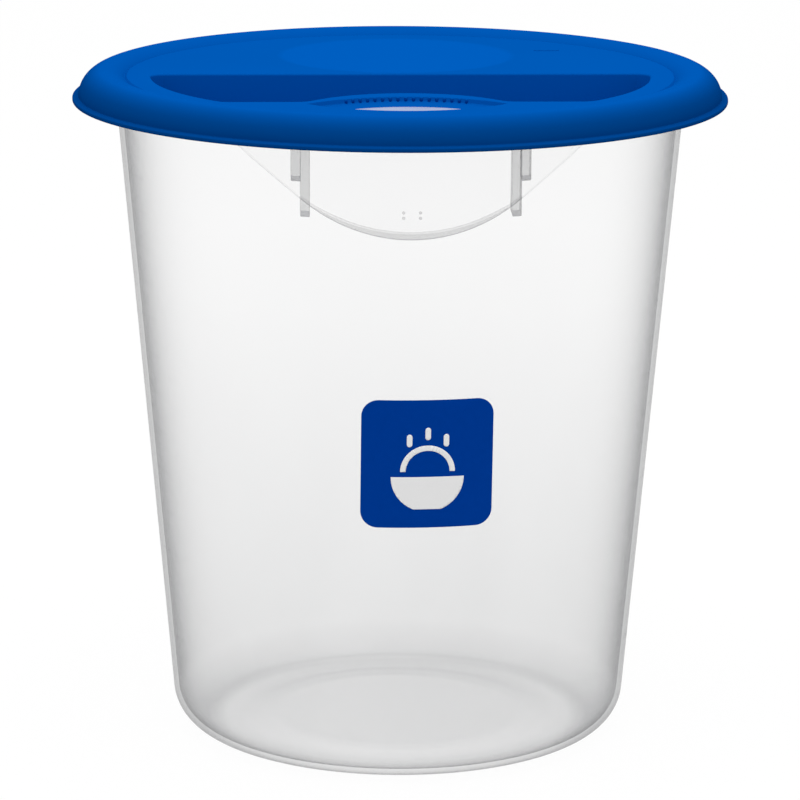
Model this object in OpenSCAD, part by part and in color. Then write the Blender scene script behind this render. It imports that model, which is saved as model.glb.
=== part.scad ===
// Dough proofing container: a tapered clear tub with two moulded hand grips and a press-on lid.
// The origin is the centre of the base, +Z is up and the front grip faces -Y. Sizes are in millimetres.

/* [Tub] */
// Height of the tub from the base to the rim's top edge
tub_h = 264; // [200:1:330]
// Outer radius that the wall's slope would reach at the base
foot_r = 90.6; // [80:0.1:98]
// Outer radius of the wall at the rim's top edge
mouth_r = 113.2; // [104:0.1:125]
// Thickness of the tub's wall
wall_t = 2; // [1.4:0.1:3]
// Thickness of the tub's floor
floor_t = 2.4; // [1.6:0.1:4]
// Outer radius of the rounded bottom corner
corner_r = 16; // [8:0.5:24]
// Radius of the raised middle of the floor
kick_r = 64; // [40:1:68]
// Height by which the middle of the floor is raised
kick_h = 1; // [0.4:0.1:2]

/* [Rim] */
// Distance from the rim's top edge down to the flange's upper face
flange_drop = 5.8; // [4.8:0.1:8]
// Thickness of the flange
flange_t = 2; // [1.4:0.1:2.6]
// Distance that the flange reaches out from the wall's line at the rim
flange_reach = 11.3; // [10:0.1:16]
// Height of the sealing bead around the top of the wall
bead_h = 3; // [2:0.1:4]
// Distance that the sealing bead stands out from the wall
bead_out = 1; // [0.4:0.1:1.4]

/* [Hand grips] */
// Thickness of the grip's apron, which hangs from the flange
apron_t = 2; // [1.4:0.1:2.8]
// Distance from the flange's lower face to the apron's lowest point
apron_drop = 33.4; // [26:0.1:44]
// Radius of the curved lower edge of the apron, seen from the front
apron_edge_r = 66; // [56:1:76]
// Angle at which the lower edge runs up to the flange at each end
apron_end_angle = 38; // [34:1:42]
// Height of the thick bead along the middle of the apron's lower edge
edge_bead_h = 2.4; // [1.6:0.1:4]
// Radius of this bead's upper edge, seen from the front
edge_bead_r = 80; // [78:1:100]
// Distance that this bead stands in from the apron
edge_bead_in = 1.4; // [0.6:0.1:2.4]
// Angle of each rib from the middle of the grip, about the tub's axis
rib_angle = 20.2; // [16:0.1:24]
// Width of each rib, and of the shorter step beside it
rib_w = 3.5; // [2.4:0.1:4.5]
// Distance from the flange's lower face to the bottom of a rib
rib_drop = 26; // [18:0.1:30]
// Distance from the flange's lower face to the bottom of a step
step_drop = 12.8; // [8:0.1:16]
// Distance between the two raised locating dots of a pair
dot_gap = 6.2; // [4:0.1:10]
// Distance between the upper and lower dot of a pair
dot_row = 2; // [1.6:0.1:4]
// Distance from the apron's lowest point up to the dots
dot_up = 9.4; // [7:0.1:16]
// Radius of a locating dot
dot_r = 0.6; // [0.4:0.1:0.8]
// Distance that a dot stands out from the apron
dot_out = 0.3; // [0.2:0.1:0.6]

/* [Measuring scales] */
// Least distance from the flange's lower face down to a mark
mark_room = 4; // [2:0.5:8]
// Angle from the front at which the marks begin, about the tub's axis
scale_angle = 66; // [58:1:72]
// Angle that a mark for a whole unit takes up
long_mark_angle = 11; // [8:1:14]
// Angle that a mark for half a unit takes up
short_mark_angle = 6; // [4:1:8]
// Height of a mark
mark_h = 0.9; // [0.6:0.1:1.4]
// Distance that a mark stands out from the wall
mark_out = 0.35; // [0.2:0.05:0.6]

/* [Lid] */
// Thickness of the lid
lid_t = 2; // [1.4:0.1:2.6]
// Outer radius of the rolled rim, in section
roll_r = 10.5; // [9.6:0.1:11.5]
// Height of the rolled rim's crest above the lid's flat top
crest_h = 2.6; // [2:0.1:3.4]
// Gap between the flange's edge and the lid's skirt
skirt_gap = 1; // [0.5:0.1:1.5]
// Distance from the tub's rim down to the lid's lowest edge
lid_drop = 7.6; // [6.6:0.1:8.4]
// Distance that the lip stands out from the skirt
lip_out = 2.5; // [1.5:0.1:4]
// Thickness of the lip
lip_t = 2; // [1.4:0.1:2.6]
// Thickness of the plug ring inside the tub's mouth
plug_t = 1.6; // [1.2:0.1:2.4]
// Depth of the plug ring below the tub's rim
plug_h = 8; // [5:0.5:12]
// Gap between the plug ring and the tub's wall
plug_gap = 0.3; // [0.2:0.05:0.6]

/* [Lid pocket] */
// Gap between the plug ring and the outside of the half-moon pocket's wall
pocket_gap = 7.7; // [4:0.1:20]
// Depth of the pocket below the lid's flat top
pocket_deep = 13; // [9:0.5:18]
// Radius of the pocket's two corners
pocket_corner_r = 5; // [3:0.5:8]
// Distance from the lid's centre to the pocket's straight front edge
shelf_y = 70; // [64:1:78]
// Radius of the round bulge of the shelf into the pocket
bulge_r = 45; // [38:1:52]
// Distance from the lid's centre to the tip of the bulge
bulge_y = 49; // [45:1:60]
// Radius of the curves that blend the bulge into the shelf
bulge_blend_r = 8; // [4:1:10]

/* [Lid details] */
// Radius of the two arcs that bound the thumb dish
thumb_r = 51; // [44:1:60]
// Depth, front to back, of the thumb dish
thumb_w = 34; // [26:1:36]
// Distance from the lid's centre to the middle of the thumb dish
thumb_y = 75; // [72:1:80]
// Depth of the thumb dish below the lid's flat top
thumb_deep = 2; // [1:0.1:3]
// Number of small grip ribs along the back wall of the thumb dish
thumb_ribs = 17; // [9:2:21]
// Distance between grip ribs
thumb_pitch = 3; // [2.4:0.1:3.4]
// Radius of a grip rib
thumb_rib_r = 0.8; // [0.5:0.1:1]
// Radius of the shallow round dish in the back half
dish_r = 50; // [36:1:52]
// Depth of the shallow round dish
dish_deep = 1; // [0.4:0.1:1.2]
// Radius of the small oblong mark's ends, in the back half
oblong_r = 1.1; // [0.8:0.1:2]
// Angle of the small oblong mark, from the right round to the back
oblong_angle = 45; // [20:1:70]
// Length of the small oblong mark
oblong_len = 10.5; // [8:0.5:16]

/* [Label] */
// Width of the label, measured round the tub
label_w = 51; // [36:1:60]
// Height of the label
label_h = 51; // [36:1:60]
// Radius of the label's corners
label_corner_r = 6.5; // [3:0.5:10]
// Height of the label's middle above the base
label_z = 132; // [90:1:160]
// Angle of the label's middle from the front, about the tub's axis
label_angle = 4.1; // [0:0.1:10]
// Thickness of the label's film
film_t = 0.25; // [0.15:0.05:0.5]
// Thickness of the white print on the film
ink_t = 0.1; // [0.05:0.05:0.2]
// Width of the white lines of the sign
line_w = 2.1; // [1.4:0.1:3]
// Radius of the sign's bowl
bowl_r = 14; // [9:0.5:16]
// Radius of the sign's dome of dough
dome_r = 10.5; // [7:0.5:12]
// Distance from the label's middle down to the bowl's rim
rim_down = 3; // [0:0.5:5]
// Length of the strokes that rise from the dome
stroke_len = 5; // [3:0.5:6]
// Angle from the upright, about the dome's middle, of the two outer strokes
stroke_angle = 42; // [30:1:50]

/* [Hidden] */
$fn = 144;
ARC_STEPS = 14;
EDGE = 0.3;
JOIN = 0.5;
FILM_GAP = 0.05;
INK_GAP = 0.02;
LITRE_VOLUME = 1000000;
QUART_VOLUME = 946353;

// Wall lines: the horizontal thickness of a sloping wall is a little more than its true thickness
slope = (mouth_r - foot_r) / tub_h;
slant = sqrt(1 + slope * slope);
wall_angle = atan(slope);
function wall_r(z) = foot_r + slope * z;
function inner_r(z) = wall_r(z) - wall_t * slant;

// Heights and radii that follow from the sizes above
flange_top = tub_h - flange_drop;
flange_low = flange_top - flange_t;
flange_r = mouth_r + flange_reach;
apron_low = flange_low - apron_drop;
lid_top = tub_h + lid_t;
lid_low = tub_h - lid_drop;
skirt_r = flange_r + skirt_gap + lid_t;
roll_cr = skirt_r - roll_r;
roll_cz = lid_top + crest_h - roll_r;
inner_roll_r = roll_r - lid_t;
seat_r = mouth_r + bead_out + EDGE;
plug_low = tub_h - plug_h;
plug_r = inner_r(plug_low) - plug_gap;
pocket_r = plug_r - plug_t - pocket_gap - lid_t;
pocket_floor = lid_top - pocket_deep;
dish_y = dish_r + EDGE;

// Points of an arc about (r, z), from angle a0 to angle a1
function arc(r, z, rad, a0, a1) =
    [for (i = [0:ARC_STEPS]) let (a = a0 + (a1 - a0) * i / ARC_STEPS) [r + rad * cos(a), z + rad * sin(a)]];

// Bottom corner: an arc that touches a flat floor at height z0 and the wall's slope
function corner(rad, z0, edge_r) =
    arc(edge_r - rad * slant, z0 + rad, rad, -90, -wall_angle);
outer_corner = corner(corner_r, 0, wall_r(corner_r));
inner_corner_r = max(corner_r - wall_t, EDGE);
inner_corner = corner(inner_corner_r, floor_t, inner_r(floor_t + inner_corner_r));

// What the tub holds up to a height, and the height that a volume reaches: the cone's volume less a small
// loss at the rounded corner
floor_r = inner_r(floor_t);
corner_loss = 2 * PI * floor_r * (1 - PI / 4) * inner_corner_r * inner_corner_r;
function volume_to(z) = PI * (pow(inner_r(z), 3) - pow(floor_r, 3)) / (3 * slope) - corner_loss;
function fill_z(volume) =
    floor_t + (pow(pow(floor_r, 3) + 3 * slope * (volume + corner_loss) / PI, 1 / 3) - floor_r) / slope;

module mirrored_y() {
    children();
    rotate([0, 0, 180]) children();
}

// The tub's wall, floor, flange and bead, turned about its axis
module tub_shell() {
    rotate_extrude()
    polygon(concat(
        [[0, kick_h], [kick_r - 2 * kick_h, kick_h], [kick_r, 0]],
        outer_corner,
        [[wall_r(flange_low), flange_low], [flange_r, flange_low], [flange_r, flange_top - EDGE],
         [flange_r - EDGE, flange_top], [wall_r(flange_top), flange_top],
         [wall_r(tub_h - bead_h), tub_h - bead_h],
         [mouth_r + bead_out, tub_h - bead_h + bead_out], [mouth_r + bead_out, tub_h],
         [inner_r(tub_h) + EDGE, tub_h], [inner_r(tub_h - EDGE), tub_h - EDGE]],
        [for (i = [ARC_STEPS:-1:0]) inner_corner[i]],
        [[kick_r + kick_h, floor_t], [kick_r - kick_h, floor_t + kick_h], [0, floor_t + kick_h]]
    ));
}

// Outline of the apron as seen from the front: x across, y is height above the base
module apron_outline() {
    tangent_x = apron_edge_r * sin(apron_end_angle);
    tangent_z = apron_low + apron_edge_r * (1 - cos(apron_end_angle));
    top_x = tangent_x + (flange_top - tangent_z) / tan(apron_end_angle);
    translate([0, apron_low + apron_edge_r]) circle(apron_edge_r);
    polygon([[-tangent_x, tangent_z], [tangent_x, tangent_z], [top_x, flange_top], [-top_x, flange_top]]);
}

// Stands an outline up in front of the tub, from the axis outwards
module stand_in_front() {
    rotate([90, 0, 0]) linear_extrude(flange_r + JOIN) children();
}

// A ring below the flange, from radius r0 to r1
module ring_below_flange(r0, r1, low) {
    rotate_extrude() translate([r0, low]) square([r1 - r0, flange_low + flange_t / 2 - low]);
}

module apron() {
    intersection() {
        ring_below_flange(flange_r - apron_t, flange_r, apron_low);
        stand_in_front() apron_outline();
    }
    intersection() {
        ring_below_flange(flange_r - apron_t - edge_bead_in, flange_r - apron_t / 2, apron_low);
        stand_in_front() edge_bead_outline();
    }
}

// The thick bead: the part of the lower edge between two arcs that part towards the middle
module edge_bead_outline() {
    difference() {
        translate([0, apron_low + apron_edge_r]) circle(apron_edge_r);
        translate([0, apron_low + edge_bead_h + edge_bead_r]) circle(edge_bead_r);
    }
}

// A block across the gap between the wall and the apron, from x0 to x1
module gap_block(x0, x1, drop) {
    low = flange_low - drop;
    high = flange_low + flange_t / 2;
    intersection() {
        rotate_extrude() polygon([
            [wall_r(low) - wall_t / 2, low], [flange_r - apron_t / 2, low],
            [flange_r - apron_t / 2, high], [wall_r(high) - wall_t / 2, high]
        ]);
        translate([min(x0, x1), -flange_r - JOIN, low]) cube([abs(x1 - x0), flange_r, high - low]);
    }
}

// One hand grip at the front: the apron, its two stepped ribs and a pair of locating dots
module hand_grip() {
    rib_x = (mouth_r + flange_reach / 2) * sin(rib_angle);
    apron();
    for (side = [-1, 1]) {
        gap_block(side * (rib_x - rib_w), side * rib_x, rib_drop);
        gap_block(side * (rib_x - EDGE), side * (rib_x + rib_w), step_drop);
        for (row = [-1, 1])
            translate([side * dot_gap / 2, -flange_r + JOIN, apron_low + dot_up + row * dot_row / 2])
            rotate([90, 0, 0]) cylinder(r = dot_r, h = JOIN + dot_out, $fn = 24);
    }
}

// One raised mark on the wall at height z, from angle a0 round to a1 measured from the front
module scale_mark(z, a0, a1) {
    rotate([0, 0, -90 + a0]) rotate_extrude(angle = a1 - a0) polygon([
        [wall_r(z - mark_h / 2) - wall_t / 2, z - mark_h / 2], [wall_r(z) + mark_out, z - mark_h / 2 + mark_out],
        [wall_r(z) + mark_out, z + mark_h / 2 - mark_out], [wall_r(z + mark_h / 2) - wall_t / 2, z + mark_h / 2]
    ]);
}

// Whole and half units up to the last whole one below the flange, on the right (side 1) or the left (side -1)
module measuring_scale(unit, side) {
    whole_units = floor(volume_to(flange_low - mark_room) / unit);
    for (half = [2:2 * whole_units]) {
        z = fill_z(unit * half / 2);
        span = half % 2 == 0 ? long_mark_angle : short_mark_angle;
        a = side * scale_angle;
        scale_mark(z, min(a, a + side * span), max(a, a + side * span));
    }
}

module container_body() {
    color([0.9, 0.92, 0.94, 0.45]) {
        tub_shell();
        mirrored_y() hand_grip();
        measuring_scale(QUART_VOLUME, 1);
        measuring_scale(LITRE_VOLUME, -1);
    }
}

// Section of the lid: the lip, the rolled rim, the seat on the tub's rim, the plug ring and the flat top
module lid_section() {
    start_a = asin((lid_low + lip_t + EDGE - roll_cz) / roll_r);
    crest_a = 180 - asin((lid_top - roll_cz) / roll_r);
    seat_a = acos((seat_r - roll_cr) / inner_roll_r);
    polygon(concat(
        [[0, lid_top - lid_t], [0, lid_top]],
        arc(roll_cr, roll_cz, roll_r, crest_a, start_a),
        [[skirt_r + lip_out - EDGE, lid_low + lip_t], [skirt_r + lip_out, lid_low + lip_t - EDGE],
         [skirt_r + lip_out, lid_low + EDGE], [skirt_r + lip_out - EDGE, lid_low],
         [skirt_r - lid_t, lid_low]],
        arc(roll_cr, roll_cz, inner_roll_r, 0, seat_a),
        [[seat_r, tub_h], [inner_r(tub_h) - plug_gap, tub_h], [plug_r, plug_low + EDGE],
         [plug_r - EDGE, plug_low], [plug_r - plug_t, plug_low], [inner_r(tub_h) - plug_gap - plug_t, tub_h]]
    ));
}

// Half-moon with rounded corners, grown all round: its straight side along X and its round side towards -Y
module half_moon(grow) {
    corner_x = sqrt(pow(pocket_r - pocket_corner_r, 2) - pow(pocket_corner_r, 2));
    outer_r = pocket_r + grow;
    reach = (outer_r + JOIN) / (pocket_r - pocket_corner_r);
    difference() {
        intersection() {
            circle(outer_r);
            translate([-outer_r, grow - 2 * outer_r]) square(2 * outer_r);
        }
        for (side = [-1, 1])
            polygon([[side * corner_x, -pocket_corner_r], [side * corner_x * reach, -pocket_corner_r * reach],
                     [side * (outer_r + JOIN), grow + JOIN], [side * corner_x, grow + JOIN]]);
    }
    for (side = [-1, 1]) translate([side * corner_x, -pocket_corner_r]) circle(pocket_corner_r + grow);
}

// The shelf at the pocket's front: a straight edge with a round bulge, blended by two hollow curves
module shelf(grow) {
    bulge = bulge_r + grow;
    blend = bulge_blend_r - grow;
    front = -shelf_y + grow;
    bulge_cy = -bulge_y - bulge_r;
    blend_cy = front + blend;
    blend_x = sqrt(pow(bulge + blend, 2) - pow(blend_cy - bulge_cy, 2));
    touch = bulge / (bulge + blend);
    difference() {
        union() {
            translate([-pocket_r - JOIN, -2 * pocket_r]) square([2 * (pocket_r + JOIN), 2 * pocket_r + front]);
            translate([0, bulge_cy]) circle(bulge);
            polygon([[-blend_x, front - JOIN], [blend_x, front - JOIN], [blend_x, front],
                     [blend_x * touch, bulge_cy + (blend_cy - bulge_cy) * touch],
                     [-blend_x * touch, bulge_cy + (blend_cy - bulge_cy) * touch], [-blend_x, front]]);
        }
        for (side = [-1, 1]) translate([side * blend_x, blend_cy]) circle(blend);
    }
}

// Outline of the pocket, or of its outer wall when grown by the lid's thickness
module pocket_outline(grow) {
    difference() {
        half_moon(grow);
        shelf(-grow);
    }
}

// Outline of the thumb dish, grown all round: the lens between two arcs
module lens(grow) {
    arc_y = thumb_r - thumb_w / 2;
    translate([0, -thumb_y]) intersection() {
        translate([0, arc_y]) circle(thumb_r + grow);
        translate([0, -arc_y]) circle(thumb_r + grow);
    }
}

// The shallow round dish in the back half: rings that steepen towards the edge
module round_dish() {
    steps = 6;
    translate([0, dish_y, lid_top]) rotate_extrude() polygon(concat(
        [[0, JOIN], [0, -dish_deep]],
        [for (i = [1:steps]) [dish_r * i / steps, -dish_deep * (1 - pow(i / steps, 2))]],
        [[dish_r, JOIN]]
    ));
}

module oblong_mark() {
    mark_r = pocket_r - oblong_len;
    rotate([0, 0, oblong_angle]) translate([mark_r, 0, lid_top - JOIN]) rotate([0, 0, -oblong_angle]) {
        for (side = [-1, 1]) translate([side * (oblong_len / 2 - oblong_r), 0, 0])
            cylinder(r = oblong_r, h = JOIN + EDGE, $fn = 32);
        translate([oblong_r - oblong_len / 2, -oblong_r, 0])
            cube([oblong_len - 2 * oblong_r, 2 * oblong_r, JOIN + EDGE]);
    }
}

// Small upright ribs that follow the back wall of the thumb dish
module thumb_grip() {
    arc_cy = -thumb_y + thumb_w / 2 - thumb_r;
    step_a = thumb_pitch / thumb_r * 180 / PI;
    for (i = [-(thumb_ribs - 1) / 2:(thumb_ribs - 1) / 2])
        translate([0, arc_cy, lid_top - thumb_deep - JOIN]) rotate([0, 0, i * step_a])
        translate([0, thumb_r, 0]) cylinder(r = thumb_rib_r, h = thumb_deep + JOIN - EDGE, $fn = 16);
}

module lid() {
    color([0.0, 0.28, 0.62]) {
        difference() {
            union() {
                rotate_extrude() lid_section();
                translate([0, 0, pocket_floor - lid_t]) linear_extrude(pocket_deep) pocket_outline(lid_t);
                translate([0, 0, lid_top - thumb_deep - lid_t]) linear_extrude(thumb_deep) lens(lid_t);
            }
            translate([0, 0, pocket_floor]) linear_extrude(pocket_deep + JOIN) pocket_outline(0);
            translate([0, 0, lid_top - thumb_deep]) linear_extrude(thumb_deep + JOIN) lens(0);
            round_dish();
        }
        thumb_grip();
        oblong_mark();
    }
}

// A layer on the wall at the label's place, from distance off0 to off1 outside the wall
module wall_layer(off0, off1) {
    low = label_z - label_h / 2 - JOIN;
    high = label_z + label_h / 2 + JOIN;
    rotate([0, 0, label_angle]) intersection() {
        rotate_extrude() polygon([
            [wall_r(low) + off0, low], [wall_r(low) + off1, low],
            [wall_r(high) + off1, high], [wall_r(high) + off0, high]
        ]);
        translate([0, 0, label_z]) rotate([90, 0, 0]) linear_extrude(wall_r(tub_h)) children();
    }
}

// A bar with round ends, across if it is wider than it is high
module round_bar(w, h) {
    r = min(w, h) / 2;
    straight = max(w, h) - 2 * r;
    across = w > h;
    square(across ? [straight, h] : [w, straight], center = true);
    for (side = [-1, 1]) translate(side * straight / 2 * (across ? [1, 0] : [0, 1])) circle(r, $fn = 32);
}

module label_outline() {
    half_a = label_w / 2 / wall_r(label_z) * 180 / PI;
    w = 2 * wall_r(label_z) * sin(half_a);
    square([w - 2 * label_corner_r, label_h], center = true);
    square([w, label_h - 2 * label_corner_r], center = true);
    for (x = [-1, 1], y = [-1, 1])
        translate([x * (w / 2 - label_corner_r), y * (label_h / 2 - label_corner_r)]) circle(label_corner_r, $fn = 48);
}

// White sign on the label: a filled bowl on a foot, with a dome of dough and three strokes that rise from it
module sign_outline() {
    bowl_y = -rim_down - line_w;
    dome_y = bowl_y + line_w;
    intersection() {
        translate([0, bowl_y]) circle(bowl_r);
        translate([-bowl_r, bowl_y - bowl_r + line_w / 2]) square([2 * bowl_r, bowl_r - line_w / 2]);
    }
    difference() {
        translate([0, dome_y]) circle(dome_r);
        translate([0, dome_y]) circle(dome_r - line_w);
        translate([-dome_r, dome_y - 2 * dome_r]) square(2 * dome_r);
    }
    for (i = [-1:1])
        translate([i * dome_r * sin(stroke_angle), dome_y + dome_r * cos(i * stroke_angle) + line_w + stroke_len / 2])
        round_bar(line_w, stroke_len);
}

module front_label() {
    color([0.0, 0.2, 0.55]) wall_layer(FILM_GAP, FILM_GAP + film_t) label_outline();
}

module label_print() {
    print_off = FILM_GAP + film_t + INK_GAP;
    color([0.96, 0.97, 0.98]) wall_layer(print_off, print_off + ink_t) sign_outline();
}

container_body();
lid();
front_label();
label_print();
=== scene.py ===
from math import asin, atan2, ceil, cos, degrees, pi, radians, sin, sqrt, tan

import bmesh
import bpy
from bpy.props import FloatProperty, FloatVectorProperty, IntProperty, PointerProperty
from mathutils import Matrix, Vector


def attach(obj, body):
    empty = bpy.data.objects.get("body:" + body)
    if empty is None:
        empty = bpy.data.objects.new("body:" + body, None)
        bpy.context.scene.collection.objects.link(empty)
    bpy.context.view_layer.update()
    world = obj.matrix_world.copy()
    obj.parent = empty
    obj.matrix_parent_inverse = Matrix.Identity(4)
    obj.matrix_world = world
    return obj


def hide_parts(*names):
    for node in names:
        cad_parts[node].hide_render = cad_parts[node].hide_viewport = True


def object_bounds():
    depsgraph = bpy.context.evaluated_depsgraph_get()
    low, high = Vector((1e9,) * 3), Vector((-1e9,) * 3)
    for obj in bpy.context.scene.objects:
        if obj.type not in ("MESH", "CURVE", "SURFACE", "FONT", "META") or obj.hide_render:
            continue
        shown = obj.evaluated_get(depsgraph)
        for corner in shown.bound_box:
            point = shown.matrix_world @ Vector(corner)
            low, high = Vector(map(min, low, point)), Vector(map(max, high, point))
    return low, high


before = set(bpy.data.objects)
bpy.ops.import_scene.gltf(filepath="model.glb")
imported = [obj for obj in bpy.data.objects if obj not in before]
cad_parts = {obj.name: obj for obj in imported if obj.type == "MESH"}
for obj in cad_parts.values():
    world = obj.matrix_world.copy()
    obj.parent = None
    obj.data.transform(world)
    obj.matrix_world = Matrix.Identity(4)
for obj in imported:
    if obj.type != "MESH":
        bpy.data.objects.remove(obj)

bl_info = {
    "name": "Dough Proofing Container",
    "version": (1, 0, 0),
    "blender": (4, 5, 0),
    "location": "3D View > Sidebar > Container",
    "description": "Clear tapered tub with hand grips, measuring marks, a label and a press-on lid",
    "category": "Object",
}

MM = 0.001
# Litre and quart in cubic metres.
LITRE = 0.001
QUART = 0.000946353
# A gap or a lap too small to see, and the distance below which points count as one.
HAIR = 0.02 * MM
MERGE = 0.001 * MM
# Steps of a full turn, the longest step along a rounding, and the angles of a small rounded edge.
FULL_TURN = 2 * pi
TURN_STEPS = 192
ROUND_STEP = 1.5 * MM
QUARTER = [pi / 2 * i / 4 for i in range(5)]
WHITE = (1, 1, 1, 1)
CAD_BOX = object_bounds()


def length(name, description, millimetres):
    """A size in millimetres as a property in metres."""
    return FloatProperty(
        name=name, description=description, default=millimetres * MM,
        subtype="DISTANCE", unit="LENGTH", precision=5,
    )


def angle(name, description, in_degrees):
    """An angle in degrees as a property in radians."""
    return FloatProperty(name=name, description=description, default=radians(in_degrees), subtype="ANGLE")


def colour(name, description, rgb):
    """A colour in linear values as a property."""
    return FloatVectorProperty(
        name=name, description=description, default=rgb, size=3, min=0, max=1, subtype="COLOR",
    )


class ContainerTubSizes(bpy.types.PropertyGroup):
    """Sizes of the tub and its rim."""
    height: length("Height", "From the base to the rim's top edge", 264)
    foot_radius: length("Foot radius", "Radius that the wall's slope would reach at the base", 90.6)
    mouth_radius: length("Mouth radius", "Outer radius of the wall at the rim", 113.2)
    wall: length("Wall", "Thickness of the wall", 2)
    floor: length("Floor", "Thickness of the floor", 2.4)
    corner: length("Corner radius", "Outer radius of the rounded bottom corner", 16)
    kick_radius: length("Kick radius", "Radius of the raised middle of the floor", 64)
    kick: length("Kick height", "Height of the raised middle of the floor", 1)
    flange_drop: length("Flange drop", "From the rim down to the flange's upper face", 5.8)
    flange: length("Flange thickness", "Thickness of the flange", 2)
    flange_radius: length("Flange radius", "Radius of the flange's edge", 124.5)
    bead: length("Bead height", "Height of the sealing bead at the rim", 3)
    bead_out: length("Bead reach", "Distance that the sealing bead stands out", 1)


class ContainerGripSizes(bpy.types.PropertyGroup):
    """Sizes of one hand grip."""
    apron: length("Apron thickness", "Thickness of the apron", 2)
    drop: length("Apron drop", "From the flange's lower face to the apron's lowest point", 33.4)
    edge_radius: length("Edge radius", "Radius of the apron's lower edge, seen from the front", 66)
    edge_angle: angle("Edge angle", "Angle of the lower edge's straight ends", 38)
    bead: length("Edge bead height", "Height of the thick bead in the middle of the lower edge", 2.4)
    bead_radius: length("Edge bead radius", "Radius of this bead's upper edge", 80)
    bead_in: length("Edge bead reach", "Distance that this bead stands in", 1.4)
    rib_x: length("Rib place", "Distance of each rib's outer face from the middle", 41.04)
    rib: length("Rib width", "Width of a rib, and of the step beside it", 3.5)
    rib_drop: length("Rib drop", "From the flange's lower face to the bottom of a rib", 26)
    step_drop: length("Step drop", "From the flange's lower face to the bottom of a step", 12.8)
    dot_gap: length("Dot gap", "Between the two dots of a pair", 6.2)
    dot_row: length("Dot row", "Between the upper and the lower dots", 2)
    dot_up: length("Dot height", "From the apron's lowest point up to the dots", 9.4)
    dot: length("Dot radius", "Radius of a locating dot", 0.6)


class ContainerMarkSizes(bpy.types.PropertyGroup):
    """Sizes of the raised measuring marks."""
    quarts: IntProperty(name="Quarts", description="Highest quart marked on the right", default=8)
    litres: IntProperty(name="Litres", description="Highest litre marked on the left", default=7)
    start: angle("Start", "Angle from the front at which the marks begin", 66)
    long: angle("Whole mark", "Angle that a mark for a whole unit takes up", 11)
    short: angle("Half mark", "Angle that a mark for half a unit takes up", 6)
    height: length("Mark height", "Height of a mark", 0.9)
    out: length("Mark relief", "Distance that a mark stands out from the wall", 0.35)


class ContainerLidSizes(bpy.types.PropertyGroup):
    """Sizes of the lid."""
    thickness: length("Thickness", "Thickness of the lid", 2)
    roll: length("Roll radius", "Outer radius of the rolled rim, in section", 10.5)
    roll_place: length("Roll place", "Distance of the roll's centre from the axis", 117)
    crest: length("Crest", "Height of the rolled rim above the flat top", 2.56)
    low: length("Lowest edge", "Height of the lip's lower face above the base", 256.4)
    lip_radius: length("Lip radius", "Radius of the lip's edge", 129.9)
    lip: length("Lip thickness", "Thickness of the lip", 2)
    seat_radius: length("Seat radius", "Radius where the roll meets the seat on the tub's rim", 114.5)
    plug: length("Plug thickness", "Thickness of the plug ring", 1.6)
    plug_depth: length("Plug depth", "Depth of the plug ring below the tub's rim", 8)
    plug_gap: length("Plug gap", "Gap between the plug ring and the tub's wall", 0.3)
    plate_radius: length("Plate radius", "Radius where the flat top ends and the rim begins", 107.6)
    groove_width: length("Groove width", "Width of the fine groove between the flat top and the roll", 1.8)
    groove_depth: length("Groove depth", "Depth of this groove", 0.8)
    pocket_radius: length("Pocket radius", "Radius of the half-moon pocket", 98.9)
    pocket_depth: length("Pocket depth", "Depth of the pocket below the flat top", 13)
    pocket_corner: length("Pocket corner", "Radius of the pocket's two rear corners", 5)
    front_corner: length("Front corner", "Radius of the pocket's two front corners", 6)
    shelf: length("Shelf place", "From the centre to the pocket's straight front edge", 70)
    bulge_radius: length("Bulge radius", "Radius of the shelf's round bulge", 45)
    bulge_tip: length("Bulge tip", "From the centre to the tip of the bulge", 49)
    bulge_blend: length("Bulge blend", "Radius that blends the bulge into the shelf", 8)
    thumb_radius: length("Thumb radius", "Radius of the two arcs of the thumb dish", 51)
    thumb_width: length("Thumb width", "Depth of the thumb dish, front to back", 34)
    thumb_place: length("Thumb place", "From the centre to the middle of the thumb dish", 75)
    thumb_depth: length("Thumb depth", "Depth of the thumb dish below the flat top", 2)
    thumb_ribs: IntProperty(name="Thumb ribs", description="Grip ribs along the back wall", default=17)
    thumb_pitch: length("Rib pitch", "Distance between grip ribs", 3)
    thumb_rib: length("Rib radius", "Radius of a grip rib", 0.8)
    shine_place: length("Polished place", "From the centre to the middle of the polished lens", 77)
    shine_length: length("Polished length", "Length of the polished lens", 44)
    shine_width: length("Polished width", "Width of the polished lens", 13)
    dish_radius: length("Dish radius", "Radius of the shallow round dish in the back half", 48.8)
    dish_place: length("Dish place", "From the centre to the middle of the round dish", 50.3)
    dish_depth: length("Dish depth", "Depth of the round dish", 1)
    dash_length: length("Dash length", "Length of the small oblong mark", 10.5)
    dash_radius: length("Dash radius", "Radius of the oblong mark's ends", 1.1)
    dash_x: length("Dash x", "Place of the oblong mark to the right", 62.5)
    dash_y: length("Dash y", "Place of the oblong mark to the back", 62.5)
    dash_out: length("Dash relief", "Distance that the oblong mark stands up", 0.3)


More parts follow.
